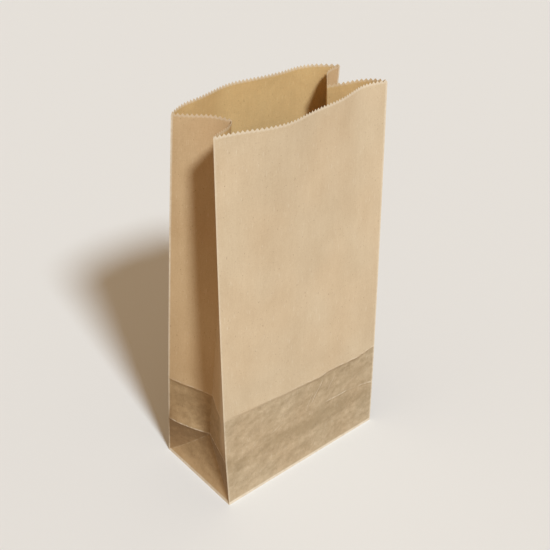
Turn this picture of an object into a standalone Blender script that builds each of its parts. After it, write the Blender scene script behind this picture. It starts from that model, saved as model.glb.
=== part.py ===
"""Block-bottom paper bag, opened and standing on its base.

The bag is one sheet of kraft paper. Round the girth it has a front panel, a right gusset, a back
panel and a left gusset, and the back panel carries the glued lap. Each gusset is folded in along
its middle. Below, two trapezoid flaps close the base. The mouth is cut with a row of teeth.

The sheet is worked out flat first: how far round the girth a point lies, and how far up the paper.
panel_point() and gusset_point() then place that point on the outer face of the opened bag.
"""
import math

import bmesh
import bpy
from mathutils import Vector

# Sizes of the bag, in metres
WIDTH = 0.150
GUSSET = 0.078
HEIGHT = 0.296
PAPER = 0.0004
TOOTH_PITCH = 0.003
TOOTH_DEPTH = 0.0015

# The glued joints: the lap down the back, and the base flaps, which run past the middle
LAP_WIDTH = 0.015
LAP_FROM_CORNER = 0.024
LAP_RISE = 0.00015
FLAP_OVERLAP = 0.014
FLAP_STEP = 0.00012
FLAP_SETBACK = 0.0003

# The mark that the base left while it lay folded up against the back panel
PRESS_MARK_HEIGHT = 0.075
PRESS_MARK_RELIEF = 0.0010
MARK_RISE = 0.014
MARK_DROP = 0.003

# The crease of that fold, half a gusset up: a ridge on each gusset, a valley in the back panel
CREASE_RIDGE = 0.0035
CREASE_VALLEY = 0.0008
CREASE_REACH = 0.0165

# How far each corner has leant in, and swayed to the right, by the mouth, and the power of the
# height by which it leans
FRONT_LEFT_LEAN, FRONT_LEFT_SWAY, FRONT_LEFT_POWER = 0.0163, 0.0038, 0.71
FRONT_RIGHT_LEAN, FRONT_RIGHT_SWAY, FRONT_RIGHT_POWER = 0.0143, 0.0, 1.16
BACK_RIGHT_LEAN, BACK_RIGHT_SWAY, BACK_RIGHT_POWER = 0.0231, -0.0041, 1.0
BACK_LEFT_LEAN, BACK_LEFT_SWAY, BACK_LEFT_POWER = 0.0175, 0.0046, 1.24

# The waves of each panel at the mouth, longest first. A finer wave stays nearer the mouth
FRONT_WAVES = (0.0080, 0.0044, -0.0013, 0.0003, -0.0016)
BACK_WAVES = (0.0186, 0.0008, 0.0024, 0.0017, 0.0016)

# The waves of each gusset half at the mouth, into the bag from its corner to the middle fold
RIGHT_FRONT_WAVES = (-0.0049, -0.0012)
RIGHT_BACK_WAVES = (0.0049, 0.0010)
LEFT_BACK_WAVES = (0.0029, -0.0014)
LEFT_FRONT_WAVES = (0.0018, -0.0008)

# The gusset folds: the base triangle's tilt, and where each fold ends at the mouth
TRIANGLE_TILT = math.radians(18.5)
LEFT_FOLD_INSET, LEFT_FOLD_FORWARD = 0.0341, 0.0022
RIGHT_FOLD_INSET, RIGHT_FOLD_FORWARD = 0.0292, -0.0021
FOLD_DROP = 0.0045

# How finely the sheet is divided
COLUMN_WIDTH = 0.0075
ROW_HEIGHT = 0.020
TOOTH_BAND = 0.009
CUT_MARGIN = 0.005

KRAFT = (0.62, 0.45, 0.28, 1.0)
KRAFT_ROUGHNESS = 0.85

HALF_WIDTH = WIDTH / 2
HALF_GUSSET = GUSSET / 2


def corner_edge(side, end, lean, sway, power):
    """A corner edge, by height: straight up to the gusset's crease, then curved to the mouth.

    side is -1 at the left and 1 at the right; end is -1 at the front and 1 at the back.
    """
    def curved(up):
        share = up / HEIGHT
        return Vector((side * HALF_WIDTH + sway * share,
                       end * (HALF_GUSSET - lean * share ** power), up))

    foot = Vector((side * HALF_WIDTH, end * HALF_GUSSET, 0))
    bend = curved(HALF_GUSSET)

    def point(up):
        return curved(up) if up > HALF_GUSSET else foot.lerp(bend, up / HALF_GUSSET)
    return point


def fold_line(side, inset, forward):
    """The middle of a gusset, by height: up the base triangle, then straight to the mouth."""
    foot = Vector((side * HALF_WIDTH, 0, 0))
    slope = Vector((-side * math.sin(TRIANGLE_TILT), 0, math.cos(TRIANGLE_TILT)))
    tip = foot + slope * HALF_GUSSET
    mouth = Vector((side * (HALF_WIDTH - inset), -forward, HEIGHT - FOLD_DROP))

    def point(up):
        if up <= HALF_GUSSET:
            return foot.lerp(tip, up / HALF_GUSSET)
        return tip.lerp(mouth, (up - HALF_GUSSET) / (HEIGHT - HALF_GUSSET))
    return point


FRONT_LEFT = corner_edge(-1, -1, FRONT_LEFT_LEAN, FRONT_LEFT_SWAY, FRONT_LEFT_POWER)
FRONT_RIGHT = corner_edge(1, -1, FRONT_RIGHT_LEAN, FRONT_RIGHT_SWAY, FRONT_RIGHT_POWER)
BACK_RIGHT = corner_edge(1, 1, BACK_RIGHT_LEAN, BACK_RIGHT_SWAY, BACK_RIGHT_POWER)
BACK_LEFT = corner_edge(-1, 1, BACK_LEFT_LEAN, BACK_LEFT_SWAY, BACK_LEFT_POWER)
LEFT_FOLD = fold_line(-1, LEFT_FOLD_INSET, LEFT_FOLD_FORWARD)
RIGHT_FOLD = fold_line(1, RIGHT_FOLD_INSET, RIGHT_FOLD_FORWARD)


def outward(start, end):
    """The level direction out of the bag, for a wall that runs from start to end."""
    along = end - start
    return Vector((along.y, -along.x, 0)).normalized()


def mark_relief(up):
    """The press mark stands out a little: it swells from above and drops off sharply below."""
    above = up - PRESS_MARK_HEIGHT
    reach = MARK_RISE if above > 0 else MARK_DROP
    return PRESS_MARK_RELIEF * max(0, 1 - abs(above) / reach) ** 1.5


def beside_crease(up):
    """1 at the crease half a gusset up, and less above and below it."""
    return max(0, 1 - abs(up - HALF_GUSSET) / CREASE_REACH)


def panel_point(first, last, waves, valley, across, up):
    """A point of a panel, which bows out between its two corner edges."""
    start, end = first(up), last(up)
    share = across / WIDTH
    spread = up / HEIGHT
    bow = sum(wave * math.sin(n * math.pi * share) * spread ** (n + 0.5)
              for n, wave in enumerate(waves, start=1))
    bow += (mark_relief(up) - valley * beside_crease(up)) * math.sin(math.pi * share)
    return start.lerp(end, share) + outward(start, end) * bow


def half_point(corner, fold, waves, is_first, reach, up):
    """A point of a gusset half above its diagonal, where reach is how far it lies from the corner."""
    share = reach / HALF_GUSSET
    bow = 0
    if corner(0).y > 0:
        near_diagonal = (up - reach) / (HALF_GUSSET - reach) if up < HALF_GUSSET else 1
        bow -= CREASE_RIDGE * math.sin(math.pi * share) * min(near_diagonal, beside_crease(
            max(up, HALF_GUSSET)))
    if up < HALF_GUSSET:
        placed = corner(up - reach) + (fold(HALF_GUSSET) - corner(0)) * share
    else:
        spread = (up - HALF_GUSSET) / (HEIGHT - HALF_GUSSET)
        bow += sum(wave * math.sin(n * math.pi * share) * spread
                   for n, wave in enumerate(waves, start=1))
        bow -= mark_relief(up) * math.sin(math.pi * share)
        placed = corner(up).lerp(fold(up), share)
    level = max(up, HALF_GUSSET)
    ends = (fold(level), corner(level)) if is_first else (corner(level), fold(level))
    return placed + outward(*ends) * bow


def gusset_point(first, fold, last, waves, across, up):
    """A point of a gusset. At its foot a triangle stands on the base, between two folded corners."""
    reach = min(across, GUSSET - across)
    if reach > up:
        slope = (fold(HALF_GUSSET) - fold(0)) / HALF_GUSSET
        return first(0).lerp(last(0), across / GUSSET) + slope * up
    is_first = across <= HALF_GUSSET
    corner = first if is_first else last
    return half_point(corner, fold, waves[0 if is_first else 1], is_first, reach, up)


class Stretch:
    """A part of the girth: its length on the paper, and how its points are placed."""

    def __init__(self, place, low, high, is_lap=False, mirrored=False):
        self.place, self.low, self.length = place, low, high - low
        self.is_lap, self.mirrored = is_lap, mirrored

    def point(self, along, up):
        return self.place(self.low + along, up)

    def marks(self, spacing):
        return marks(self.length, spacing)


def marks(length, spacing):
    """Even distances along a length, from 0 to its end, about a spacing apart."""
    count = max(1, round(length / spacing))
    return [length * i / count for i in range(count + 1)]


def girth():
    """The sheet's stretches, from the front left corner round to the left gusset."""
    def front(across, up):
        return panel_point(FRONT_LEFT, FRONT_RIGHT, FRONT_WAVES, 0, across, up)

    def right(across, up):
        waves = (RIGHT_FRONT_WAVES, RIGHT_BACK_WAVES)
        return gusset_point(FRONT_RIGHT, RIGHT_FOLD, BACK_RIGHT, waves, across, up)

    def back(across, up):
        return panel_point(BACK_RIGHT, BACK_LEFT, BACK_WAVES, CREASE_VALLEY, across, up)

    def left(across, up):
        waves = (LEFT_BACK_WAVES, LEFT_FRONT_WAVES)
        return gusset_point(BACK_LEFT, LEFT_FOLD, FRONT_LEFT, waves, across, up)

    lap_end = LAP_FROM_CORNER + LAP_WIDTH
    return [
        Stretch(front, 0, WIDTH),
        Stretch(right, 0, HALF_GUSSET),
        Stretch(right, HALF_GUSSET, GUSSET, mirrored=True),
        Stretch(back, 0, LAP_FROM_CORNER),
        Stretch(back, LAP_FROM_CORNER, lap_end, is_lap=True),
        Stretch(back, lap_end, WIDTH),
        Stretch(left, 0, HALF_GUSSET),
        Stretch(left, HALF_GUSSET, GUSSET, mirrored=True),
    ]


def sheet_rows():
    """The heights that divide the sheet. Up to the gusset's tip they match the columns there."""
    rows = marks(HALF_GUSSET, COLUMN_WIDTH)
    low, high = PRESS_MARK_HEIGHT - MARK_DROP, PRESS_MARK_HEIGHT + MARK_RISE
    rows += [HALF_GUSSET + x for x in marks(low - HALF_GUSSET, ROW_HEIGHT)[1:]]
    rows += [PRESS_MARK_HEIGHT, PRESS_MARK_HEIGHT + MARK_RISE / 3, high]
    rows += [high + x for x in marks(HEIGHT - TOOTH_BAND - high, ROW_HEIGHT)[1:]]
    return rows


def ring(mesh, stretches, spacing, up):
    """A level line round the bag: for each stretch, its distances and their vertices."""
    lines = [[(x, mesh.verts.new(stretch.point(x, up))) for x in stretch.marks(spacing)[:-1]]
             for stretch in stretches]
    starts = [line[0][1] for line in lines]
    for line, stretch, end in zip(lines, stretches, starts[1:] + starts[:1]):
        line.append((stretch.length, end))
    return lines


def stitch(mesh, lap, stretch, lower, upper):
    """Triangles between two level lines, which may be divided differently."""
    low = high = 0
    while low < len(lower) - 1 or high < len(upper) - 1:
        next_low = lower[low + 1][0] if low < len(lower) - 1 else math.inf
        next_high = upper[high + 1][0] if high < len(upper) - 1 else math.inf
        corners = [lower[low][1], upper[high][1]]
        if next_low < next_high or next_low == next_high and stretch.mirrored:
            low += 1
            corners.insert(1, lower[low][1])
        else:
            high += 1
            corners.insert(1, upper[high][1])
        mesh.faces.new(corners)[lap] = stretch.is_lap


def cut_teeth(mesh, lap, stretch, roots):
    for (start, left), (end, right) in zip(roots, roots[1:]):
        tip = mesh.verts.new(stretch.point((start + end) / 2, HEIGHT))
        mesh.faces.new((left, right, tip))[lap] = stretch.is_lap


def paper_sheet():
    """The paper as a surface with no thickness, closed round the girth and across the base."""
    mesh = bmesh.new()
    lap = mesh.faces.layers.int.new("lap")
    stretches = girth()
    rings = [ring(mesh, stretches, COLUMN_WIDTH, up) for up in sheet_rows()]
    rings.append(ring(mesh, stretches, TOOTH_PITCH, HEIGHT - TOOTH_DEPTH))
    for lower_ring, upper_ring in zip(rings, rings[1:]):
        for stretch, lower, upper in zip(stretches, lower_ring, upper_ring):
            stitch(mesh, lap, stretch, lower, upper)
    for stretch, roots in zip(stretches, rings[-1]):
        cut_teeth(mesh, lap, stretch, roots)
    base = [vertex for line in rings[0] for _, vertex in line[:-1]]
    middle = mesh.verts.new((0, 0, 0))
    for start, end in zip(base, base[1:] + base[:1]):
        mesh.faces.new((end, start, middle))
    return mesh


def new_object(name, mesh):
    data = bpy.data.meshes.new(name)
    mesh.to_mesh(data)
    mesh.free()
    made = bpy.data.objects.new(name, data)
    bpy.context.scene.collection.objects.link(made)
    return made


def thicken(bag):
    """Gives the paper its wall, inwards from the outer face."""
    wall = bag.modifiers.new("wall", "SOLIDIFY")
    wall.thickness = PAPER
    wall.offset = -1
    wall.use_even_offset = True
    wall.use_quality_normals = True
    evaluated = bag.evaluated_get(bpy.context.evaluated_depsgraph_get())
    solid = bpy.data.meshes.new_from_object(evaluated)
    bag.modifiers.remove(wall)
    bag.data = solid


def raise_lap(bag):
    """Lifts the outer face of the glued lap by the sheet that lies under it."""
    mesh = bmesh.new()
    mesh.from_mesh(bag.data)
    lap = mesh.faces.layers.int["lap"]
    outer = [face for face in mesh.faces if face[lap] and face.normal.y > 0.5]
    lifted = bmesh.ops.extrude_face_region(mesh, geom=outer)["geom"]
    bmesh.ops.delete(mesh, geom=outer, context="FACES")
    corners = [part for part in lifted if isinstance(part, bmesh.types.BMVert)]
    bmesh.ops.translate(mesh, verts=corners, vec=(0, LAP_RISE, 0))
    mesh.to_mesh(bag.data)
    mesh.free()


def cutter(name, outline, depth):
    """A prism under the base, which cuts up into it by a depth."""
    mesh = bmesh.new()
    face = mesh.faces.new([mesh.verts.new((x, y, -CUT_MARGIN)) for x, y in outline])
    top = bmesh.ops.extrude_face_region(mesh, geom=[face])["geom"]
    corners = [part for part in top if isinstance(part, bmesh.types.BMVert)]
    bmesh.ops.translate(mesh, verts=corners, vec=(0, 0, CUT_MARGIN + depth))
    bmesh.ops.recalc_face_normals(mesh, faces=mesh.faces)
    made = new_object(name, mesh)
    made.hide_render = True
    made.display_type = "WIRE"
    return made


def lower_flaps_outline():
    """All of the base that the last flap leaves open. That flap starts from the back edge."""
    past_middle = FLAP_OVERLAP / 2
    free_end = HALF_WIDTH - HALF_GUSSET - past_middle - FLAP_SETBACK
    side, end = HALF_WIDTH + CUT_MARGIN, HALF_GUSSET + CUT_MARGIN
    slant = end + FLAP_SETBACK
    free_edge = [(free_end, -past_middle), (-free_end, -past_middle)]
    return [(-side, slant), (-side, -end), (side, -end), (side, slant), *free_edge]


def end_fold_outline(side):
    """The triangle at one end of the base, where the gusset lies under both flaps."""
    reach = HALF_GUSSET - FLAP_SETBACK
    outer = side * (HALF_WIDTH + CUT_MARGIN)
    return [(side * (HALF_WIDTH - reach), 0), (outer, reach + CUT_MARGIN),
            (outer, -reach - CUT_MARGIN)]


def fold_base(bag):
    """Steps the underside, where the base's flaps lie over each other."""
    steps = [cutter("lower_flaps_cut", lower_flaps_outline(), FLAP_STEP)]
    for name, side in (("left_end_cut", -1), ("right_end_cut", 1)):
        steps.append(cutter(name, end_fold_outline(side), 2 * FLAP_STEP))
    for step in steps:
        cut = bag.modifiers.new(step.name, "BOOLEAN")
        cut.operation = "DIFFERENCE"
        cut.solver = "EXACT"
        cut.object = step


def kraft_paper():
    material = bpy.data.materials.new("kraft_paper")
    material.use_nodes = True
    shader = material.node_tree.nodes["Principled BSDF"]
    shader.inputs["Base Color"].default_value = KRAFT
    shader.inputs["Roughness"].default_value = KRAFT_ROUGHNESS
    shader.inputs["Metallic"].default_value = 0.0
    return material


def main():
    for old in list(bpy.data.objects):
        bpy.data.objects.remove(old, do_unlink=True)
    bag = new_object("paper_bag", paper_sheet())
    thicken(bag)
    raise_lap(bag)
    fold_base(bag)
    bag.data.materials.clear()
    bag.data.materials.append(kraft_paper())


main()
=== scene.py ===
"""A block-bottom kraft paper bag, opened and standing, and the plain studio it stands in.

The bag is one sheet. Round its girth it has a front panel, a right gusset, a back panel and a left
gusset. Each point of the sheet is named by how far round the girth it lies and how far up the
paper, and the fold map below places it on the opened bag. The sheet's UV map holds the same two
distances in metres, so the paper's fibres, marks and wear follow the folds.
"""
import math

import bmesh
import bpy
from mathutils import Matrix, Vector


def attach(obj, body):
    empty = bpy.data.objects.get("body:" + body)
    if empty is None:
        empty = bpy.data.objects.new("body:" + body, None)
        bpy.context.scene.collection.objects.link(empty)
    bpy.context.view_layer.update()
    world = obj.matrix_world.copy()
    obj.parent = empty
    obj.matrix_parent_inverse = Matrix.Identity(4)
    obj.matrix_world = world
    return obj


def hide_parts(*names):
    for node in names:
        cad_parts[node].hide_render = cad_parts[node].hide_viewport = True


bl_info = {
    "name": "Kraft Paper Bag",
    "version": (1, 0, 0),
    "blender": (4, 5, 0),
    "location": "View3D > Sidebar > Paper Bag",
    "description": "Folds a block-bottom kraft paper bag and lights it",
    "category": "Add Mesh",
}

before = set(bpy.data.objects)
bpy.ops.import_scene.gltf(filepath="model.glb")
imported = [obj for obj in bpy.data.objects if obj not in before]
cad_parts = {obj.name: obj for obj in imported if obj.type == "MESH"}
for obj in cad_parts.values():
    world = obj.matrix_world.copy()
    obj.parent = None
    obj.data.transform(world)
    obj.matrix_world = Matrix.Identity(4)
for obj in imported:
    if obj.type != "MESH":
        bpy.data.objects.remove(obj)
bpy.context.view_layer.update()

NODE = "paper_bag"

# The sheet's division. Columns and rows match up to half a gusset, where the diagonal folds run.
# The rows lie closest together from MARK_NEAR below the press mark to MARK_NEAR above it
COLUMN = 0.0015
ROW_ABOVE = 0.004
MARK_ROW = 0.001
MARK_NEAR = 0.007
MARK_FAR = 0.019
MOUTH_BAND = 0.009

# Each corner edge: its side and end of the bag, how far it has leant in and swayed to the right by
# the mouth, and the powers of the height by which it leans and sways
FRONT_LEFT = (-1, -1, 0.0163, 0.0038, 0.71, 1.21)
FRONT_RIGHT = (1, -1, 0.0143, 0.0013, 1.16, 1.0)
BACK_RIGHT = (1, 1, 0.0231, -0.0041, 1.0, 1.0)
BACK_LEFT = (-1, 1, 0.0175, 0.0046, 1.24, 1.0)

# The waves of each panel at the mouth, longest first. A finer wave stays nearer the mouth
FRONT_WAVES = (0.0080, 0.0044, -0.0013, 0.0003, -0.0016, 0.0002)
BACK_WAVES = (0.0186, 0.0008, 0.0024, 0.0017, 0.0016, -0.0002, 0.0005)

# The gusset folds: side, and how far in, forward and down each ends at the mouth
TRIANGLE_TILT = math.radians(18.5)
LEFT_FOLD = (-1, 0.0341, 0.0022, 0.0045)
RIGHT_FOLD = (1, 0.0292, -0.0021, 0.0045)

# How each half of a gusset bows into the bag at the mouth, from its corner to its fold
HALF_WAVES = {"right front": (-0.0049, -0.0012), "right back": (0.0049, 0.0010),
              "left back": (0.0029, -0.0014), "left front": (0.0018, -0.0008)}

# The crease where the base once folded up, half a gusset high: a ridge on each gusset's back half
# and a valley in the back panel, which dip at the back left corner. Along the front panel it shows
# only as a painted highlight line over a painted shade line, which rise from the front right
# corner and then run level
CREASE_RIDGE = 0.0043
RIDGE_LIFT = 0.62
CREASE_VALLEY = 0.0008
CREASE_REACH = 0.0165
CREASE_DIP = 0.0043
DIP_REACH = 0.039
FRONT_CREASE_RISE = 0.0065
FRONT_CREASE_RUN = 0.025
FRONT_CREASE_POWER = 0.6

# The base: how thick each glued layer is, how far its rings lie from its edge, and the same for
# the rings of a glued flap, whose sides are cut into PLATE_STEPS
LAYER = 0.00012
LAYER_INSET = 0.0005
BASE_RINGS = (0.0003, 0.0012, 0.003, 0.007, 0.014, 0.026)
PLATE_RINGS = (0.0, 0.0006, 0.0015, 0.004)
PLATE_STEPS = 24

# The mark that the folded base pressed into the paper, and how its path wanders along the front
MARK_RELIEF = 0.0009
MARK_RISE = 0.014
MARK_DROP = 0.0025
MARK_PATH = ((0.0, 0.0036), (0.010, 0.0035), (0.022, 0.0030), (0.040, 0.0020), (0.055, 0.0013),
             (0.073, 0.0006), (0.091, -0.0006), (0.099, 0.0006), (0.110, 0.0002),
             (0.127, -0.0010), (0.150, 0.0004))

# What the mesh keeps for each vertex, and a distance past all marks and folds
FLOATS = ("girth", "up", "tooth", "loose", "edge", "fold", "mark", "crease", "crease_light_and_shade",
          "gusset")
FAR = 1.0

# The crinkle: how far from a fold the paper is fully loose, the length of a soft wave, the height
# of the slanted crumples below the press mark and how softly they begin there, and the seed
LOOSE_REACH = 0.012
CRINKLE_LENGTH = 0.030
CRUMPLE_HEIGHT = 0.0010
CRUMPLE_START = 0.006
CRINKLE_SEED = 3
SEED_STRIDE = 7.3

# The crinkle's noise: its detail and roughness, how many soft waves go up the paper for each one
# round it, and how the places of the slanted crumples go with the girth and the height
CRINKLE_DETAIL = 1.5
CRINKLE_ROUGHNESS = 0.45
CRINKLE_STRETCH = 0.6
CRUMPLE_SLANT = ((1.9, 1.6), (-2.0, 4.2))

# The paper's noises: spots per metre round the girth and up the paper, detail, shift, distortion
NOISES = {
    "clouds": (38, 30, 2.0, 0, 0.0),
    "fibres": (1500, 260, 3.0, 0, 0.6),
    "cross fibres": (520, 1300, 2.0, 17, 0.8),
    "streaks": (330, 28, 3.0, 5, 0.0),
    "grain": (900, 900, 2.0, 29, 0.0),
    "pink clouds": (22, 17, 1.0, 41, 0.0),
    "pale dashes": (900, 150, 1.0, 53, 0.0),
    "dark dashes": (620, 330, 2.0, 71, 0.0),
    "bark": (780, 560, 1.0, 113, 0.0),
    "mark's wobble": (210, 60, 2.0, 7, 0.0),
    "wrinkles' bend": (300, 300, 2.0, 61, 0.0),
    "breaks": (260, 260, 2.0, 83, 0.0),
    "clumps": (30, 70, 2.0, 27, 0.0),
    "blotches": (60, 110, 3.0, 9, 0.3),
    "grit": (250, 300, 3.0, 19, 0.5),
    "dents": (180, 150, 3.0, 67, 0.0),
    "rough inside": (48, 36, 3.0, 151, 0.9),
}

# How much each noise moves the paper's tone. The pinker clouds: the noise's values where they
# begin and are full, and how strong they are there. The dashes and the bark specks: the same
# values, their strength, and their colour in the look
TONE = {"clouds": 0.8, "fibres": 0.55, "cross fibres": 0.4, "streaks": 0.35, "grain": 0.5}
PINK_CLOUDS = (0.35, 0.65, 0.0, 0.35)
SPECKS = {"pale dashes": (0.66, 0.74, 0.30, "worn"),
          "dark dashes": (0.67, 0.75, 0.35, "speck"),
          "bark": (0.73, 0.78, 0.55, "speck")}

# How high the noises stand up on each face of the paper, in metres, and how strongly that shows.
# The paper's roughness, and how much its grain, and its pale wear and painted highlights, add
OUTER_RELIEF = {"fibres": 0.00004, "cross fibres": 0.00002, "dents": 0.00016}
INNER_RELIEF = {**OUTER_RELIEF, "rough inside": 0.0011}
BUMP = 0.8
ROUGHNESS = 0.80
GRAIN_ROUGHNESS = 0.12
WORN_ROUGHNESS = 0.08

# Tints that multiply the paper's colour: in its pinker clouds, as painted shade on the facets at a
# gusset's foot, and as painted shade in the hollow of a crease
PINKER = (1.0, 0.93, 0.86, 1)
FACET_SHADE = (0.76, 0.71, 0.66, 1)
HOLLOW_SHADE = (0.60, 0.50, 0.38, 1)

# The painted shade on the facets at a gusset's foot: where it ends beside the triangle and at half
# a gusset's height, and its strength. How the triangle is painted darker towards its top, and how
# that painted shade fades above it: between which heights, and from how much to how much
FACET_SIDE = (-0.0012, 0.0004)
FACET_TOP = (-0.0008, 0.0006)
FACET_STRENGTH = 0.95
APEX_SHADE = (0.004, 0.034, 0.0, 0.55)
APEX_END = (-0.0005, 0.0005, 1.0, 0.25)

# The press mark: how its line wobbles, where along the front it turns crisp, how far it runs out
# where it is soft and where it is crisp, how much of its painted highlight and shade lines shows
# where it is soft, where the painted shade in its hollow turns darker and how dark it is, and how
# far above it the band's darkening fades
MARK_WOBBLE = 0.0022
CRISP_START = (0.015, 0.105)
MARK_SOFT = 0.0034
MARK_CRISP = 0.0008
SOFT_LINES = 0.15
DARK_MARK = (0.100, 0.114, 0.45, 0.80)
MARK_FADE = (0.0, 0.045, 0.16, 0.0)

# The painted light on a strip beside each front corner of a gusset: how far from the middle of the
# back panel, on the paper, the heights where it rises and falls away, and how much of the band's
# darkening it takes away
LIT_STRIP_SIDE = (0.134, 0.150)
LIT_STRIP_RISE = (0.030, 0.065)
LIT_STRIP_FALL = (0.080, 0.135)
LIT_STRIP_LIFT = 0.8

# The darker band below the press mark, partly soiling and partly painted shade: how dark it is
# along the front, at the foot, and how much lighter the foot of a gusset is. Each is between which
# distances, and from how much to how much. The painted shade line in it, just below the crease:
# its height, how far it wanders, its core and reach, how it pales beside the front right corner,
# and how much of it the gussets lack
BAND_DARKENING_ALONG = (0.030, 0.105, 0.59, 0.72)
BAND_DARKENING_AT_FOOT = (0.0, 0.013, 0.72, 1.0)
LIGHTER_GUSSET_FOOT = (0.0, 0.022, 0.55, 0.0)
CREASE_SHADE_HEIGHT = 0.0335
CREASE_SHADE_WANDER = 0.020
CREASE_SHADE_SIDES = (0.001, 0.0105)
CREASE_SHADE_GAP = (0.010, 0.040, 0.45, 1.0)
CREASE_SHADE_OFF_GUSSET = 0.75

# The band's soft slanted wrinkles, by the sine and cosine of their angle and their noise: spots
# per metre along them and across, detail, shift and distortion. And how much each thing adds to
# the band's darkening: soiling in the blotches and grit, painted shade in the rest
SLANT_SINE, SLANT_COSINE = 0.62, 0.79
SLANT_NOISE = (34, 280, 2.5, 3, 0.4)
BAND_DARKENING = {"gusset": 0.12, "trail": 0.33, "blotches": 1.0, "grit": 0.85, "slanted": 0.25}

# How strongly the crease's painted highlight and shade show along the front panel, and the sharp
# wrinkles above it, painted as highlight lines with shade lines beside them, each from one place
# on the sheet to another, with its strength. How long a wrinkle's ends are, how far it bends, and
# how wide it is to each side
FRONT_CREASE_LIGHT_AND_SHADE = ((0.0, 0.0), (0.093, 0.0), (0.104, 0.9), (0.120, 1.0), (0.124, 0.15),
                     (0.133, 0.15), (0.137, 1.0), (0.150, 1.0))
WRINKLES = ((0.0824, 0.0513, 0.0950, 0.0708, 1.0), (0.0775, 0.0500, 0.0850, 0.0640, 0.6),
            (0.0990, 0.0560, 0.1080, 0.0690, 0.5), (0.0420, 0.0440, 0.0560, 0.0500, 0.4))
WRINKLE_END = 0.004
WRINKLE_BEND = 0.0022
WRINKLE_LINE = 0.0008

# How wide the line of a crease is to each side, how far above the press mark and the crease their
# painted highlight lines lie, and how far below the press mark its painted shade line lies and how
# much of it never breaks. The painted shade lines under the crease and beside a wrinkle: how far
# off they lie, which is also how wide they are to each side, and how strong they are
CREASE_LINE = 0.0009
PALE_ABOVE_MARK = 0.0007
PALE_ABOVE_CREASE = 0.0004
DARK_BELOW_MARK = 0.0004
DARK_UNBROKEN = 0.3
THIN_DARK = 0.0010
THIN_DARK_STRENGTH = 0.35

# How far from the mouth, the foot and the corner edges their pale wear reaches, from full to none,
# how pale the mouth is on the panels and on the gussets, and where the front left corner is
# spared.
# Along the foot the pale line is partly wear and partly a painted highlight on the fold
RIM_WEAR = (0.0032, 0.0010)
RIM_ON_PANEL = 0.52
RIM_ON_GUSSET = 0.32
FOOT_WEAR_AND_HIGHLIGHT = (0.0016, 0.0030)
EDGE_WEAR = (0.0004, 0.0018)
SHIELDED = (0.004, 0.010, 0.5, 1.0)

# The values of its noise between which a pale line goes from broken to whole. And the pale places,
# worn ones, painted highlights and painted light: how much of each never breaks, and how pale it
# is
BREAKS = (0.35, 0.62)
WORN_AND_HIGHLIT = {"mark": (0.0, 0.35), "strip": (1.0, 0.42), "crease": (0.2, 0.6), "fold": (0.0, 0.15),
        "wrinkles": (1.0, 0.4), "edge": (0.6, 0.75), "foot": (0.75, 0.95)}

# The floor and the world as the camera sees them, and the camera, which a fit to the photo's
# corners gave
FLOOR_REACH = 12
BACKDROP = (1.0, 0.99, 0.97, 1)
BACKDROP_STRENGTH = 0.92
CAMERA_PLACE = (-0.38516, -0.43817, 0.53984)
CAMERA_YAW, CAMERA_PITCH, CAMERA_ROLL = (math.radians(a) for a in (41.326, 33.332, 1.236))
CAMERA_LENS = 62.519
CAMERA_SENSOR = 36


class BagSizes(bpy.types.PropertyGroup):
    """The sizes of the bag"""
    width: bpy.props.FloatProperty(
        name="Width", description="Width of the front and back panels",
        default=0.150, min=0.05, subtype="DISTANCE", unit="LENGTH")
    gusset: bpy.props.FloatProperty(
        name="Gusset", description="Depth of the base, and the paper's length across a gusset",
        default=0.078, min=0.03, subtype="DISTANCE", unit="LENGTH")
    height: bpy.props.FloatProperty(
        name="Height", description="Height from the base to the tips of the teeth",
        default=0.296, min=0.1, subtype="DISTANCE", unit="LENGTH")
    paper: bpy.props.FloatProperty(
        name="Paper", description="Thickness of the paper",
        default=0.0002, min=0.00005, subtype="DISTANCE", unit="LENGTH")
    tooth_pitch: bpy.props.FloatProperty(
        name="Tooth Pitch", description="Distance from tooth to tooth along the mouth",
        default=0.003, min=0.001, subtype="DISTANCE", unit="LENGTH")
    tooth_depth: bpy.props.FloatProperty(
        name="Tooth Depth", description="Depth of the toothed cut at the mouth",
        default=0.0017, min=0.0, subtype="DISTANCE", unit="LENGTH")
    mark_height: bpy.props.FloatProperty(
        name="Press Mark", description="Height of the mark that the folded base pressed in",
        default=0.0755, min=0.02, subtype="DISTANCE", unit="LENGTH")
    lap_width: bpy.props.FloatProperty(
        name="Lap Width", description="Width of the glued lap on the back panel",
        default=0.015, min=0.005, subtype="DISTANCE", unit="LENGTH")
    lap_from_corner: bpy.props.FloatProperty(
        name="Lap Place", description="Distance from the back right corner to the lap",
        default=0.024, min=0.0, subtype="DISTANCE", unit="LENGTH")
    flap_overlap: bpy.props.FloatProperty(
        name="Flap Overlap", description="How far the two base flaps lie over each other",
        default=0.014, min=0.002, subtype="DISTANCE", unit="LENGTH")
    crinkle: bpy.props.FloatProperty(
        name="Crinkle", description="Height of the paper's soft unevenness",
        default=0.0007, min=0.0, subtype="DISTANCE", unit="LENGTH")


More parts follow.
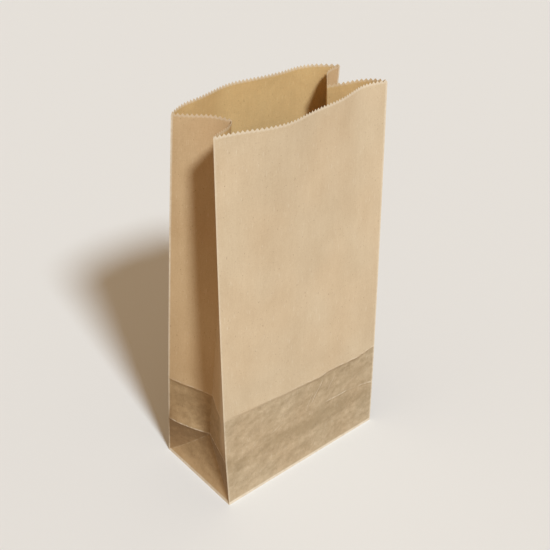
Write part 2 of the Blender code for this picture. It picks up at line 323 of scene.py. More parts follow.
class KraftLook(bpy.types.PropertyGroup):
    """The colours of the paper"""
    light: bpy.props.FloatVectorProperty(
        name="Light", description="Colour of the paper's paler fibres",
        default=(0.724, 0.604, 0.436), size=3, min=0, max=1, subtype="COLOR")
    dark: bpy.props.FloatVectorProperty(
        name="Dark", description="Colour of the paper's darker fibres",
        default=(0.560, 0.434, 0.286), size=3, min=0, max=1, subtype="COLOR")
    # This pale colour paints the worn fibres and also the painted highlights and painted light
    worn: bpy.props.FloatVectorProperty(
        name="Worn", description="Colour of the raised fibres on folds and cut edges",
        default=(0.82, 0.74, 0.61), size=3, min=0, max=1, subtype="COLOR")
    # Painted bounce light: this tint makes the inner face deeper and warmer, as the light bounced
    # round inside the bag does
    inner: bpy.props.FloatVectorProperty(
        name="Inner", description="Tint of the unglazed inner face",
        default=(1.0, 0.86, 0.57), size=3, min=0, max=1, subtype="COLOR")
    # Painted shade and bounce light: this tint makes the gussets deeper and warmer than the
    # panels, which are the same paper
    gusset: bpy.props.FloatVectorProperty(
        name="Gusset", description="Tint of the gussets, which keep the paper's deeper colour",
        default=(0.95, 0.845, 0.70), size=3, min=0, max=1, subtype="COLOR")
    # Partly soiling and partly painted shade: this tint darkens the band below the press mark
    soiled_and_shaded: bpy.props.FloatVectorProperty(
        name="Soiled", description="Tint of the crumpled band above the base",
        default=(0.60, 0.57, 0.51), size=3, min=0, max=1, subtype="COLOR")
    speck: bpy.props.FloatVectorProperty(
        name="Speck", description="Colour of the bark specks in the paper",
        default=(0.27, 0.16, 0.08), size=3, min=0, max=1, subtype="COLOR")


class StudioLook(bpy.types.PropertyGroup):
    """The floor and the light"""
    floor: bpy.props.FloatVectorProperty(
        name="Floor", description="Colour of the floor",
        default=(0.77, 0.785, 0.80), size=3, min=0, max=1, subtype="COLOR")
    key: bpy.props.FloatProperty(
        name="Key Light", description="Strength of the main lamp",
        default=3.05, min=0.0)
    key_colour: bpy.props.FloatVectorProperty(
        name="Key Colour", description="Colour of the main lamp",
        default=(0.88, 0.955, 1.0), size=3, min=0, max=1, subtype="COLOR")
    key_azimuth: bpy.props.FloatProperty(
        name="Key Azimuth", description="How far the main lamp stands to the left of the front",
        default=math.radians(13), subtype="ANGLE")
    key_elevation: bpy.props.FloatProperty(
        name="Key Elevation", description="How high the main lamp stands",
        default=math.radians(45), subtype="ANGLE")
    key_softness: bpy.props.FloatProperty(
        name="Key Softness", description="How wide the main lamp looks from the bag",
        default=math.radians(9), min=0.0, subtype="ANGLE")
    fill: bpy.props.FloatProperty(
        name="Fill Light", description="Strength of the even light from all round",
        default=0.40, min=0.0)
    fill_colour: bpy.props.FloatVectorProperty(
        name="Fill Colour", description="Colour of the even light from all round",
        default=(1.0, 0.69, 0.40), size=3, min=0, max=1, subtype="COLOR")
    bounce: bpy.props.FloatVectorProperty(
        name="Bounce", description="Colour of the floor for the light that it throws back",
        default=(0.34, 0.25, 0.16), size=3, min=0, max=1, subtype="COLOR")


def corner_point(corner, size, up):
    """A point of a corner edge, which leans in towards the mouth."""
    side, end, lean, sway, lean_power, sway_power = corner
    half = size.gusset / 2
    if up < half:
        foot = Vector((side * size.width / 2, end * half, 0))
        return foot.lerp(corner_point(corner, size, half), up / half)
    share = up / size.height
    return Vector((side * size.width / 2 + sway * share ** sway_power,
                   end * (half - lean * share ** lean_power), up))


def fold_tip(fold, size):
    """The top of the triangle that stands on the base, at one gusset."""
    side = fold[0]
    half = size.gusset / 2
    return Vector((side * (size.width / 2 - half * math.sin(TRIANGLE_TILT)), 0,
                   half * math.cos(TRIANGLE_TILT)))


def fold_point(fold, size, up):
    """A point of a gusset's middle fold: up the base triangle, then straight to the mouth."""
    side, inset, forward, drop = fold
    half = size.gusset / 2
    tip = fold_tip(fold, size)
    if up <= half:
        return Vector((side * size.width / 2, 0, 0)).lerp(tip, up / half)
    mouth = Vector((side * (size.width / 2 - inset), -forward, size.height - drop))
    return tip.lerp(mouth, (up - half) / (size.height - half))


def outward(start, end):
    """The level direction out of the bag, for a wall that runs from start to end."""
    along = end - start
    return Vector((along.y, -along.x, 0)).normalized()


def height_along(path, across):
    """The height at one place on a path of straight runs."""
    for (start, low), (end, high) in zip(path, path[1:]):
        if across <= end:
            return low + (high - low) * (across - start) / (end - start)
    return path[-1][1]


def mark_relief(above):
    """The press mark stands out a little: it swells from above and drops off sharply below."""
    reach = MARK_RISE if above > 0 else MARK_DROP
    return MARK_RELIEF * max(0.0, 1 - abs(above) / reach) ** 1.5


class Wall:
    """One wall of the bag: a panel or a gusset, by its place and length on the sheet."""

    def __init__(self, name, start, length, size):
        self.name, self.start, self.length, self.size = name, start, length, size

    def above_mark(self, across, up):
        """How far above the press mark a point lies."""
        wander = height_along(MARK_PATH, across) if self.name == "front" else 0.0
        return up - self.size.mark_height - wander

    def point(self, across, up):
        """Where a point of the sheet lies on the opened bag."""
        if self.name == "front":
            return self.panel_point(FRONT_LEFT, FRONT_RIGHT, FRONT_WAVES, across, up)
        if self.name == "back":
            placed = self.panel_point(BACK_RIGHT, BACK_LEFT, BACK_WAVES, across, up)
        elif self.name == "right":
            placed = self.gusset_point(FRONT_RIGHT, RIGHT_FOLD, BACK_RIGHT, across, up)
        else:
            placed = self.gusset_point(BACK_LEFT, LEFT_FOLD, FRONT_LEFT, across, up)
        placed.z -= self.crease_dip(across, up)
        return placed

    def crease_dip(self, across, up):
        """How far the sheet slips down its surface near the back left corner."""
        if self.name not in ("back", "left"):
            return 0.0
        away = self.length - across if self.name == "back" else across
        half = self.size.gusset / 2
        beside = max(0.0, 1 - away / DIP_REACH)
        upward = max(0.0, 1 - abs(up - half) / half)
        return CREASE_DIP * beside * upward

    def panel_point(self, first, last, waves, across, up):
        """A panel bows between two corner edges, most at the mouth."""
        start, end = (corner_point(corner, self.size, up) for corner in (first, last))
        share = across / self.length
        spread = max(0.0, up / self.size.height)
        bow = sum(wave * math.sin(n * math.pi * share) * spread ** (n + 0.5)
                  for n, wave in enumerate(waves, start=1))
        ends = min(1.0, 8 * share, 8 * (1 - share))
        bow += mark_relief(self.above_mark(across, up)) * ends
        if self.name == "back":
            from_crease = abs(up - self.size.gusset / 2) / CREASE_REACH
            bow -= CREASE_VALLEY * max(0.0, 1 - from_crease) * ends
        return start.lerp(end, share) + outward(start, end) * bow

    def gusset_point(self, first, fold, last, across, up):
        """At a gusset's foot a triangle stands on the base, between two folded corners."""
        size, half = self.size, self.length / 2
        tip = fold_tip(fold, size)
        reach = min(across, self.length - across)
        if reach > up:
            middle = fold_point(fold, size, 0)
            ends = [corner_point(corner, size, 0) for corner in (first, last)]
            return ends[0].lerp(ends[1], across / self.length) + (tip - middle) / half * up
        near = first if across <= half else last
        share, level = reach / half, max(up, half)
        if up < half:
            placed = (corner_point(near, size, up - reach)
                      + (tip - corner_point(near, size, 0)) * share)
        else:
            placed = corner_point(near, size, up).lerp(fold_point(fold, size, up), share)
        start, end = corner_point(near, size, level), fold_point(fold, size, level)
        inward = outward(end, start) if near is first else outward(start, end)
        ridge = self.ridge(near[1], share, up)
        bow = self.half_bow(near[1], share, across, up) - ridge
        return placed + inward * bow + Vector((0, 0, RIDGE_LIFT * ridge))

    def ridge(self, end, share, up):
        """How far the crease stands out of a gusset's back half. end is 1 at the back."""
        half = self.length / 2
        if end < 0:
            return 0.0
        if up < half:
            rise = max(0.0, (up - share * half) / (half - share * half)) ** 1.3
        else:
            rise = max(0.0, 1 - (up - half) / CREASE_REACH) ** 1.5
        return CREASE_RIDGE * rise * math.sin(math.pi * share) ** 0.75

    def half_bow(self, end, share, across, up):
        """How far a half of a gusset bows into the bag. end is 1 for its back half."""
        half = self.length / 2
        if up <= half:
            return 0.0
        waves = HALF_WAVES[self.name + (" front" if end < 0 else " back")]
        spread = (up - half) / (self.size.height - half)
        bow = sum(wave * math.sin(n * math.pi * share) * spread
                  for n, wave in enumerate(waves, start=1))
        return bow - mark_relief(self.above_mark(across, up)) * math.sin(math.pi * share)

    def edge_distance(self, across, up):
        """How far a point is from the bag's nearest outer edge, on the paper."""
        return min(across, self.length - across, up)

    def fold_distance(self, across, up):
        """How far a point is from the nearest fold inside a gusset, on the paper."""
        half = self.length / 2
        if self.name in ("front", "back"):
            return FAR
        if up > half:
            return abs(across - half)
        return abs(min(across, self.length - across) - up) * math.sqrt(0.5)

    def crease_light_and_shade(self, across, up):
        """How strongly the crease at half a gusset's height shows its painted highlight and shade.
        """
        return height_along(FRONT_CREASE_LIGHT_AND_SHADE, across) if self.name == "front" else 1.0

    def above_crease(self, across, up):
        """How far above the crease at half a gusset's height a point lies."""
        above = up - self.size.gusset / 2
        if self.name != "front":
            return above
        from_corner = min(1.0, (self.length - across) / FRONT_CREASE_RUN)
        return above - FRONT_CREASE_RISE * from_corner ** FRONT_CREASE_POWER

    def looseness(self, across, up):
        """How freely the paper crinkles: not on a fold, and more in the middle of a panel."""
        found = min(self.edge_distance(across, up), self.fold_distance(across, up))
        away = max(0.0, min(1.0, found / LOOSE_REACH))
        return away * away * (3 - 2 * away)

    def floats(self, across, up):
        """What the mesh keeps at a point, apart from the teeth."""
        is_inside = self.name in ("left", "right") and across > 0
        return {"girth": self.start + across, "up": up, "loose": self.looseness(across, up),
                "edge": self.edge_distance(across, up), "fold": self.fold_distance(across, up),
                "mark": self.above_mark(across, up), "crease": self.above_crease(across, up),
                "crease_light_and_shade": self.crease_light_and_shade(across, up), "gusset": float(is_inside)}


def bag_walls(size):
    """The four walls, from the front left corner round to the left gusset."""
    walls, start = [], 0.0
    for name, length in (("front", size.width), ("right", size.gusset),
                         ("back", size.width), ("left", size.gusset)):
        walls.append(Wall(name, start, length, size))
        start += length
    return walls


def steps(start, end, spacing):
    """Even heights from start to end, without start."""
    count = max(1, round((end - start) / spacing))
    return [start + (end - start) * i / count for i in range(1, count + 1)]


def sheet_rows(size):
    """The heights that divide the sheet, closest together at the press mark and the mouth."""
    half, mark = size.gusset / 2, size.mark_height
    rows = [0.0] + steps(0.0, half, COLUMN)
    rows += steps(half, mark - MARK_NEAR, 2 * COLUMN)
    rows += steps(mark - MARK_NEAR, mark + MARK_NEAR, MARK_ROW)
    rows += steps(mark + MARK_NEAR, mark + MARK_FAR, 2 * COLUMN)
    rows += steps(mark + MARK_FAR, size.height - MOUTH_BAND, ROW_ABOVE)
    rows += steps(size.height - MOUTH_BAND, size.height, 2 * COLUMN)
    return rows


def sheet_mesh(name, size, stretches, rows, closed):
    """Part of the sheet as a surface with no thickness.

    stretches lists (wall, first distance, last distance) along the girth. A closed sheet joins
    its last stretch to its first and gets the base.
    """
    columns = []
    for wall, low, high in stretches:
        distances = [low] + steps(low, high, COLUMN)
        last = distances.pop()
        columns += [(wall, across) for across in distances]
    if not closed:
        columns.append((wall, last))
    half_row = min(range(len(rows)), key=lambda r: abs(rows[r] - size.gusset / 2))
    mesh = bmesh.new()
    uv = mesh.loops.layers.uv.new("sheet")
    layers = {key: mesh.verts.layers.float.new(key) for key in FLOATS}
    grid = []
    for up in rows:
        line = []
        for wall, across in columns:
            vertex = mesh.verts.new(wall.point(across, up))
            vertex[layers["tooth"]] = float(up == rows[-1])
            for key, value in wall.floats(across, up).items():
                vertex[layers[key]] = value
            line.append(vertex)
        grid.append(line)

    def cell(c, r):
        """The corners of a cell, from its low left, as (vertex, girth, up)."""
        d = (c + 1) % len(columns)
        girth = columns[c][0].start + columns[c][1]
        step = COLUMN
        if d:
            step = columns[d][0].start + columns[d][1] - girth
        return [(grid[r][c], girth, rows[r]), (grid[r][d], girth + step, rows[r]),
                (grid[r + 1][d], girth + step, rows[r + 1]), (grid[r + 1][c], girth, rows[r + 1])]

    def add_face(corners):
        """Adds a face and lays it on the sheet's map."""
        face = mesh.faces.new([corner[0] for corner in corners])
        face.smooth = True
        for loop, corner in zip(face.loops, corners):
            loop[uv].uv = corner[1:]

    folds = []
    for c in range(len(columns) if closed else len(columns) - 1):
        wall, across = columns[c]
        is_gusset = wall.name in ("left", "right")
        i = round(across / COLUMN)
        count = round(wall.length / COLUMN)
        for r in range(len(rows) - 1):
            a, b, d, e = cell(c, r)
            reach = min(i, count - 1 - i)
            if is_gusset and r < half_row and reach == r:
                if i < count / 2:
                    add_face((a, b, d))
                    add_face((a, d, e))
                    folds.append((a[0], d[0]))
                else:
                    add_face((a, b, e))
                    add_face((b, d, e))
                    folds.append((b[0], e[0]))
            else:
                add_face((a, b, d, e))
            if across == 0 or is_gusset and 2 * i == count and r >= half_row:
                folds.append((a[0], e[0]))
            if r == 0 or r == half_row and wall.name != "front":
                folds.append((a[0], b[0]))
            if r == len(rows) - 2:
                folds.append((d[0], e[0]))
    if closed:
        close_base(mesh, size, grid[0], layers, uv)
    for fold in folds:
        edge = mesh.edges.get(fold)
        if edge:
            edge.smooth = False
    return new_object(name, mesh)


def close_base(mesh, size, foot, layers, uv):
    """Closes the sheet across the base with rings of faces, two glued layers above the floor."""
    half = (size.width / 2, size.gusset / 2)
    outer = foot
    for inset in BASE_RINGS:
        inner = []
        for vertex in foot:
            x, y = (vertex.co[i] * (half[i] - inset) / half[i] for i in (0, 1))
            inner.append(mesh.verts.new((x, y, 2 * LAYER)))
            mark_base(inner[-1], layers, inset)
        pairs = list(zip(outer, inner))
        for (a, b), (c, d) in zip(pairs, pairs[1:] + pairs[:1]):
            lay_uv(mesh.faces.new((c, a, b, d)), uv)
        outer = inner
    middle = mesh.verts.new((0, 0, 2 * LAYER))
    mark_base(middle, layers, FAR)
    for a, b in zip(outer, outer[1:] + outer[:1]):
        lay_uv(mesh.faces.new((b, a, middle)), uv)


def mark_base(vertex, layers, inset):
    """Fills a vertex's floats where it lies on the base, away from the folds and marks."""
    vertex[layers["edge"]] = inset
    for key in ("fold", "mark", "crease"):
        vertex[layers[key]] = FAR


def lay_uv(face, uv):
    """Lays the base's own paper away from the walls' on the sheet's map."""
    face.smooth = True
    for loop in face.loops:
        loop[uv].uv = (loop.vert.co.x + FAR, loop.vert.co.y + FAR)


def plate_mesh(name, outline, height):
    """A flat layer of paper with its own edge wear. outline runs clockwise, seen from above."""
    mesh = bmesh.new()
    uv = mesh.loops.layers.uv.new("sheet")
    layers = {key: mesh.verts.layers.float.new(key) for key in FLOATS}
    middle = sum((Vector(point) for point in outline), Vector((0, 0))) / len(outline)
    border = [Vector(a).lerp(Vector(b), i / PLATE_STEPS)
              for a, b in zip(outline, outline[1:] + outline[:1]) for i in range(PLATE_STEPS)]
    rings = []
    for inset in PLATE_RINGS:
        ring = []
        for point in border:
            x, y = point.lerp(middle, inset / (point - middle).length)
            ring.append(mesh.verts.new((x, y, height)))
            mark_base(ring[-1], layers, inset)
        rings.append(ring)
    for outer, inner in zip(rings, rings[1:]):
        pairs = list(zip(outer, inner))
        for (a, b), (c, d) in zip(pairs, pairs[1:] + pairs[:1]):
            lay_uv(mesh.faces.new((a, c, d, b)), uv)
    lay_uv(mesh.faces.new(rings[-1]), uv)
    return new_object(name, mesh)


def new_object(name, mesh):
    """Links an object that holds a finished mesh."""
    data = bpy.data.meshes.new(name)
    mesh.to_mesh(data)
    mesh.free()
    made = bpy.data.objects.new(name, data)
    bpy.context.scene.collection.objects.link(made)
    return made


class Socket:
    """An output of a node, with Python's operators for its maths."""

    def __init__(self, maker, end):
        self.maker, self.end = maker, end

    def maths(self, operation, *others):
        """A Math node whose first value is this output."""
        return self.maker.maths(operation, self, *others)

    def __add__(self, other):
        return self.maths("ADD", other)

    def __sub__(self, other):
        return self.maths("SUBTRACT", other)

    def __rsub__(self, other):
        return self.maker.maths("SUBTRACT", other, self)

    def __mul__(self, other):
        return self.maths("MULTIPLY", other)

    def __truediv__(self, other):
        return self.maths("DIVIDE", other)

    def __abs__(self):
        return self.maths("ABSOLUTE")

    __radd__ = __add__
    __rmul__ = __mul__

    def at_least(self, other):
        return self.maths("MAXIMUM", other)

    def at_most(self, other):
        return self.maths("MINIMUM", other)


class NodeMaker:
    """Adds nodes to a tree."""

    def __init__(self, tree):
        self.tree = tree

    def node(self, kind, settings=None, inputs=None, output=0):
        """Adds a node. Its settings are set first, then the values or links of its sockets."""
        made = self.tree.nodes.new(kind)
        for key, value in (settings or {}).items():
            setattr(made, key, value)
        for key, value in (inputs or {}).items():
            if isinstance(value, Socket):
                self.tree.links.new(value.end, made.inputs[key])
            else:
                made.inputs[key].default_value = value
        return Socket(self, made.outputs[output]) if made.outputs else made

    def maths(self, operation, *values):
        """A Math node."""
        return self.node("ShaderNodeMath", {"operation": operation}, dict(enumerate(values)))

    def split(self, vector):
        """The three numbers of a vector."""
        first = self.node("ShaderNodeSeparateXYZ", None, {"Vector": vector})
        return [Socket(self, end) for end in first.end.node.outputs]

    def join(self, x, y, z=0.0):
        """A vector of three numbers."""
        return self.node("ShaderNodeCombineXYZ", None, {"X": x, "Y": y, "Z": z})

    def noise(self, vector, detail, distortion):
        """Noise from 0 to 1, with one spot to each unit of its vector."""
        return self.node("ShaderNodeTexNoise", None, {
            "Vector": vector, "Scale": 1.0, "Detail": detail, "Roughness": 0.5,
            "Distortion": distortion}, "Fac")

    def ease(self, value, low, high, low_out=0.0, high_out=1.0):
        """Goes softly from low_out to high_out while value goes from low to high."""
        return self.node("ShaderNodeMapRange", {"interpolation_type": "SMOOTHSTEP"}, {
            "Value": value, "From Min": low, "From Max": high, "To Min": low_out,
            "To Max": high_out})

    def mix(self, factor, first, second, blend="MIX"):
        """Mixes two colours."""
        return self.node("ShaderNodeMix", {"data_type": "RGBA", "blend_type": blend},
                         {0: factor, 6: first, 7: second}, 2)

    def seen_plainly(self):
        """1 for rays from the camera, from gloss and through glass, and 0 for lighting rays."""
        ends = self.node("ShaderNodeLightPath").end.node.outputs
        camera, gloss, glass = (Socket(self, ends["Is %s Ray" % kind])
                                for kind in ("Camera", "Glossy", "Transmission"))
        return camera.at_least(gloss).at_least(glass)

    def named(self, name):
        """A float that the mesh keeps for each vertex."""
        if self.tree.type == "GEOMETRY":
            return self.node("GeometryNodeInputNamedAttribute", {"data_type": "FLOAT"},
                             {"Name": name}, "Attribute")
        return self.node("ShaderNodeAttribute", {"attribute_name": name}, None, "Fac")


def paper_tree():
    """Geometry nodes that cut the teeth at the mouth and crinkle the paper."""
    tree = bpy.data.node_groups.new("teeth_and_crinkle", "GeometryNodeTree")
    face = tree.interface
    face.new_socket("Geometry", in_out="OUTPUT", socket_type="NodeSocketGeometry")
    face.new_socket("Geometry", in_out="INPUT", socket_type="NodeSocketGeometry")
    for name in ("Tooth Pitch", "Tooth Depth", "Crinkle Height", "Crinkle Size",
                 "Crumple Height", "Mark Height", "Lift"):
        face.new_socket(name, in_out="INPUT", socket_type="NodeSocketFloat")
    face.new_socket("Seed", in_out="INPUT", socket_type="NodeSocketInt")
    face.new_socket("Material", in_out="INPUT", socket_type="NodeSocketMaterial")
    maker = NodeMaker(tree)
    given = tree.nodes.new("NodeGroupInput")
    wanted = {end.name: Socket(maker, end) for end in given.outputs if end.name}
    girth, up = maker.named("girth"), maker.named("up")

    pitch, depth = wanted["Tooth Pitch"], wanted["Tooth Depth"]
    sawtooth = girth.maths("PINGPONG", pitch / 2) / (pitch / 2)
    drop = (1 - sawtooth) * depth * maker.named("tooth")

    def waves(x, y):
        """Noise from -1 to 1 at places on the sheet, measured in crinkles."""
        place = maker.join(x / wanted["Crinkle Size"], y / wanted["Crinkle Size"])
        noise = maker.node("ShaderNodeTexNoise", {"noise_dimensions": "4D"}, {
            "Vector": place, "W": wanted["Seed"] * SEED_STRIDE, "Scale": 1.0,
            "Detail": CRINKLE_DETAIL, "Roughness": CRINKLE_ROUGHNESS}, "Fac")
        return noise * 2 - 1

    soft = waves(girth, up * CRINKLE_STRETCH) * wanted["Crinkle Height"]
    below_mark = maker.ease(up, wanted["Mark Height"] - CRUMPLE_START, wanted["Mark Height"],
                            1.0, 0.0)
    slanted = [girth * by_girth + up * by_up for by_girth, by_up in CRUMPLE_SLANT]
    crumples = waves(*slanted) * wanted["Crumple Height"]
    bump = (soft + crumples * below_mark) * maker.named("loose") + wanted["Lift"]
    normal = maker.node("GeometryNodeInputNormal")
    moved = maker.node("ShaderNodeVectorMath", {"operation": "SCALE"},
                       {"Vector": normal, "Scale": bump})
    offset = maker.node("ShaderNodeVectorMath", {"operation": "SUBTRACT"},
                        {0: moved, 1: maker.join(0.0, 0.0, drop)})
    placed = maker.node("GeometryNodeSetPosition", None,
                        {"Geometry": wanted["Geometry"], "Offset": offset})
    real = maker.node("GeometryNodeRealizeInstances", None, {"Geometry": placed})
    finished = maker.node("GeometryNodeSetMaterial", None,
                          {"Geometry": real, "Material": wanted["Material"]})
    maker.node("NodeGroupOutput", None, {"Geometry": finished})
    return tree


def fill_inputs(modifier, values):
    """Sets a tree's inputs by their names."""
    for item in modifier.node_group.interface.items_tree:
        if item.in_out == "INPUT" and item.name in values:
            modifier[item.identifier] = values[item.name]


def finish_sheet(piece, size, tree, look, lift=0.0):
    """Runs the teeth and crinkle, gives the paper its thickness, and leaves a plain mesh."""
    material = kraft_paper(look, size, "outer")
    piece.data.materials.append(material)
    piece.data.materials.append(kraft_paper(look, size, "inner"))
    shaped = piece.modifiers.new("teeth_and_crinkle", "NODES")
    shaped.node_group = tree
    fill_inputs(shaped, {
        "Tooth Pitch": size.tooth_pitch, "Tooth Depth": size.tooth_depth,
        "Crinkle Height": size.crinkle, "Crinkle Size": CRINKLE_LENGTH,
        "Crumple Height": CRUMPLE_HEIGHT, "Mark Height": size.mark_height, "Lift": lift,
        "Seed": CRINKLE_SEED, "Material": material})
    wall = piece.modifiers.new("thickness", "SOLIDIFY")
    wall.thickness = size.paper
    wall.offset = -1
    wall.use_even_offset = True
    wall.use_quality_normals = True
    wall.material_offset = 1
    make_plain(piece)


def base_layers(size):
    """The glued layers of the base: name, outline, height of its top, thickness."""
    side, end = size.width / 2 - LAYER_INSET, size.gusset / 2 - LAYER_INSET
    past = size.flap_overlap / 2
    free = side - end - past
    layers = [("back_base_flap", [(-side, end), (side, end), (free, -past), (-free, -past)],
               LAYER, LAYER),
              ("front_base_flap", [(side, -end), (-side, -end), (-free, past), (free, past)],
               2 * LAYER, LAYER)]
    top = 2 * LAYER + 2 * size.paper
    for name, x in (("left_end_fold", -1), ("right_end_fold", 1)):
        outline = [(x * (side - size.paper), -x * end), (x * (side - size.paper - end), 0),
                   (x * (side - size.paper), x * end)]
        layers.append((name, outline, top, 1.5 * size.paper))
    return layers


def make_plain(piece):
    """Turns a piece with modifiers into a plain mesh."""
    depsgraph = bpy.context.evaluated_depsgraph_get()
    evaluated = piece.evaluated_get(depsgraph)
    mesh = bpy.data.meshes.new_from_object(
        evaluated, preserve_all_data_layers=True, depsgraph=depsgraph)
    piece.modifiers.clear()
    piece.data = mesh
    mesh.name = piece.name


def belongs(piece):
    """Hangs a piece under the root body and hides the imported paper_bag part."""
    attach(piece, "root")
    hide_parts(NODE)


class PaperMaker(NodeMaker):
    """Adds the nodes of kraft paper, which know where on the sheet they are."""

    def __init__(self, tree, look, size):
        super().__init__(tree)
        self.look, self.width, self.half, self.mouth = (
            look, size.width, size.gusset / 2, size.height)
        self.made = {}
        sheet = self.node("ShaderNodeUVMap", {"uv_map": "sheet"})
        self.girth, self.up, _ = self.split(sheet)
        self.gusset, self.crease = self.named("gusset"), self.named("crease")
        self.crease_light_and_shade = self.named("crease_light_and_shade")
        self.mark = self.named("mark") + self.swing("mark's wobble") * MARK_WOBBLE
        self.crisp = self.ease(self.girth, *CRISP_START)
        self.breaks = self.ease(self.spots("breaks"), *BREAKS)
        self.from_back = abs(self.girth - (1.5 * size.width + size.gusset))
        self.from_fold = abs(self.from_back - (size.width + size.gusset) / 2)
        # Painted light: a paler strip beside each front corner of a gusset
        self.strip = (self.gusset * self.ease(self.from_back, *LIT_STRIP_SIDE)
                      * self.ease(self.up, *LIT_STRIP_RISE)
                      * self.ease(self.up, *LIT_STRIP_FALL, 1.0, 0.0))

    def spots(self, name):
        """One of the paper's noises, from 0 to 1. Its nodes are made once."""
        if name not in self.made:
            along, upward, detail, shift, distortion = NOISES[name]
            place = self.join(self.girth * along + shift, self.up * upward + shift)
            self.made[name] = self.noise(place, detail, distortion)
        return self.made[name]

    def swing(self, name):
        """One of the paper's noises, from -0.5 to 0.5."""
        return self.spots(name) - 0.5

    def line(self, distance, width):
        """1 on a line, and 0 at its width to each side."""
        return self.ease(abs(distance), 0.0, width, 1.0, 0.0)

    def partly(self, mask, least):
        """A mask that never falls below its least value."""
        return mask * (1 - least) + least

    def fibre_colour(self):
        """The plain paper: fibres, soft clouds, dashes and bark specks."""
        tone = 0.5
        for name, weight in TONE.items():
            tone = self.swing(name) * weight + tone
        colour = self.mix(tone, (*self.look.dark, 1), (*self.look.light, 1))
        pinker = self.ease(self.spots("pink clouds"), *PINK_CLOUDS)
        colour = self.mix(pinker, colour, PINKER, "MULTIPLY")
        for name, (low, high, strength, speck) in SPECKS.items():
            shown = self.ease(self.spots(name), low, high) * strength
            colour = self.mix(shown, colour, (*getattr(self.look, speck), 1))
        return colour

    def tinted_and_shaded(self, colour, face):
        """The deeper, warmer colour of the inner face and the gussets, painted bounce light and
        shade, and the painted shade at their foot.
        """
        if face == "inner":
            colour = self.mix(1.0, colour, (*self.look.inner, 1), "MULTIPLY")
        else:
            colour = self.mix(self.gusset, colour, (*self.look.gusset, 1), "MULTIPLY")
        # Painted shade on the facets at a gusset's foot and towards the triangle's top
        above = self.up - self.half
        facet = (self.ease(self.half - self.from_fold - self.up, *FACET_SIDE, 1.0, 0.0)
                 * self.ease(above, *FACET_TOP, 1.0, 0.0))
        towards_apex = self.ease(self.up, *APEX_SHADE) * self.ease(above, *APEX_END)
        shaded = self.gusset * facet.at_least(towards_apex) * FACET_STRENGTH
        return self.mix(shaded, colour, FACET_SHADE, "MULTIPLY")

    def soiled_and_shaded(self, colour):
        """The crumpled band below the press mark, darker partly as soiling and partly as painted
        shade, with a painted shade line below the crease. The darkening fades out above the mark.
        """
        girth, up, gusset = self.girth, self.up, self.gusset
        softness = MARK_SOFT - self.crisp * (MARK_SOFT - MARK_CRISP)
        band_below_mark = self.ease(self.mark / softness, -1.0, 0.0, 1.0, 0.0)
        fade = self.ease(self.mark, *MARK_FADE) * (1 - band_below_mark)
        # Painted shade: a dark line just below the crease, which wanders
        clumps = self.swing("clumps") * CREASE_SHADE_WANDER
        trail = (self.ease(abs(up - CREASE_SHADE_HEIGHT - clumps), *CREASE_SHADE_SIDES, 1.0, 0.0)
                 * (1 - gusset * CREASE_SHADE_OFF_GUSSET)
                 * self.ease(abs(girth - self.width), *CREASE_SHADE_GAP))
        added = {"gusset": gusset, "trail": trail, "blotches": self.swing("blotches"),
                 "grit": self.swing("grit"), "slanted": self.slanted_wrinkles() - 0.5}
        band_darkening = self.ease(girth, *BAND_DARKENING_ALONG)
        for name, share in BAND_DARKENING.items():
            band_darkening = band_darkening + added[name] * share
        band_darkening = (band_below_mark * band_darkening.at_least(0.0) * self.ease(up, *BAND_DARKENING_AT_FOOT)
                 * (1 - gusset * self.ease(up, *LIGHTER_GUSSET_FOOT)) * (1 - self.strip * LIT_STRIP_LIFT))
        return self.mix(band_darkening.at_least(fade).at_most(1.0), colour, (*self.look.soiled_and_shaded, 1),
                        "MULTIPLY")

    def slanted_wrinkles(self):
        """Noise from 0 to 1 whose spots are long and slant across the band."""
        length, width, detail, shift, distortion = SLANT_NOISE
        along = self.girth * SLANT_COSINE + self.up * SLANT_SINE
        over = self.up * SLANT_COSINE - self.girth * SLANT_SINE
        return self.noise(self.join(along * length + shift, over * width), detail, distortion)

    def wrinkles(self):
        """The painted highlights on the sharp wrinkles, and the painted shade lines beside them.
        """
        bend = self.swing("wrinkles' bend") * WRINKLE_BEND
        pale, dark = 0.0, 0.0
        for start, foot, end, head, strength in WRINKLES:
            length = math.hypot(end - start, head - foot)
            run, rise = (end - start) / length, (head - foot) / length
            ahead = (self.girth - start) * run + (self.up - foot) * rise
            beside = (self.up - foot) * run - (self.girth - start) * rise + bend
            present = (self.ease(ahead, 0.0, WRINKLE_END)
                       * self.ease(ahead, length - WRINKLE_END, length, 1.0, 0.0) * strength)
            pale = self.line(beside, WRINKLE_LINE) * present + pale
            dark = self.line(beside + THIN_DARK, THIN_DARK) * present + dark
        return pale, dark

    def painted_hollow_shade(self, colour, wrinkles):
        """The painted shade lines under the press mark and the crease, and beside the wrinkles."""
        under_mark = (self.line(self.mark + DARK_BELOW_MARK, CREASE_LINE)
                      * self.partly(self.breaks, DARK_UNBROKEN)
                      * self.partly(self.crisp, SOFT_LINES) * self.ease(self.girth, *DARK_MARK))
        under_crease = self.line(self.crease + THIN_DARK, THIN_DARK) * self.crease_light_and_shade
        hollow = under_mark.at_least(under_crease.at_least(wrinkles) * THIN_DARK_STRENGTH)
        return self.mix(hollow, colour, HOLLOW_SHADE, "MULTIPLY")

